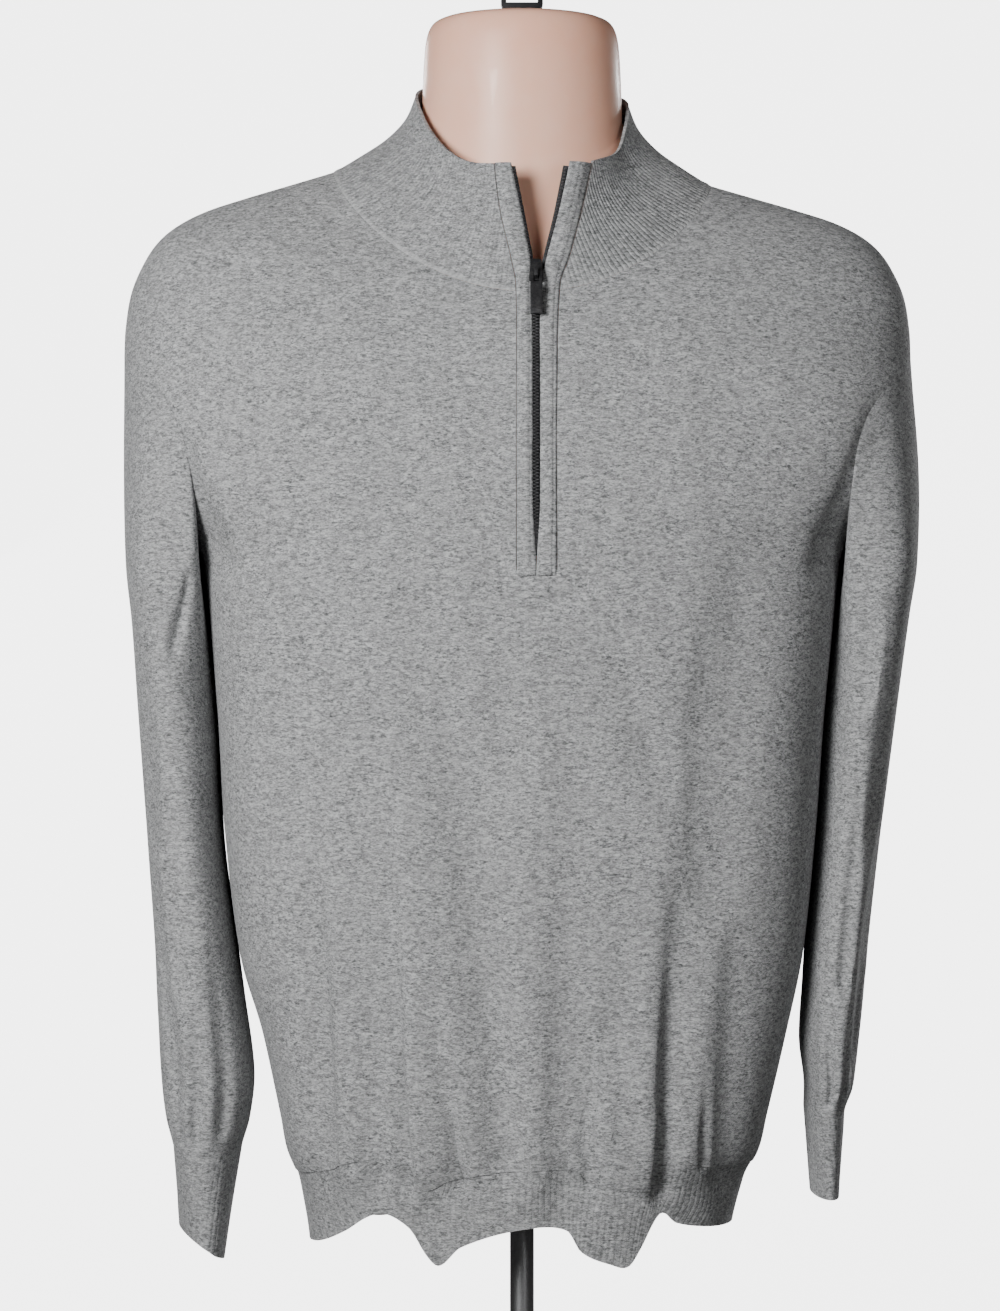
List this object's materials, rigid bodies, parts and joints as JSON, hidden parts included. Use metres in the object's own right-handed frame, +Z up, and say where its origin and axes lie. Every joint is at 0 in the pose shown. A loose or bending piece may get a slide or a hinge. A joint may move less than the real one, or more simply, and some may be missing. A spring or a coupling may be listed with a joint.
{
  "type": "quarter zip sweater on a torso form",
  "caption": "Heather grey quarter zip sweater with a ribbed funnel collar, worn by a limbless torso form on a pole and round base.",
  "frame": {"origin": "middle of the round base's underside, on the surface that the form stands on", "axes": "+Z up along the pole; -Y out of the sweater's front; +X towards the wearer's left"},
  "size_m": [0.5258, 0.28, 1.0003],
  "materials": {
    "knit": "heather grey fine-gauge jersey knit",
    "rib": "heather grey rib knit",
    "tape": "dark grey woven zip tape",
    "teeth": "dark grey moulded zip teeth",
    "gunmetal": "dark gunmetal plate",
    "form_skin": "semi-gloss pale pink moulded plastic",
    "form_black": "black moulded plastic",
    "satin_steel": "satin steel"
  },
  "bodies": {
    "sweater_form": {"body_front": "knit", "body_back": "knit", "hem_front": "rib", "hem_back": "rib", "sleeve_left": "knit", "sleeve_right": "knit", "cuff_left": "rib", "cuff_right": "rib", "collar": "rib", "placket_left": "rib", "placket_right": "rib", "zip_tape_left": "tape", "zip_tape_right": "tape", "zip_teeth_left": "teeth", "zip_teeth_right": "teeth", "zip_chain": "teeth", "zip_slider": "gunmetal", "form_torso": "form_skin", "form_fitting": "form_black", "form_pole": "satin_steel", "form_base": "satin_steel"},
    "zip_pull": {"zip_pull": "gunmetal"}
  },
  "joints": [
    {"name": "pull_swing", "type": "hinge", "parent": "sweater_form", "child": "zip_pull", "pos_m": [0.00841, -0.09956, 0.78157], "axis": [-1, 0, 0], "range_deg": [0, 150]}
  ]
}
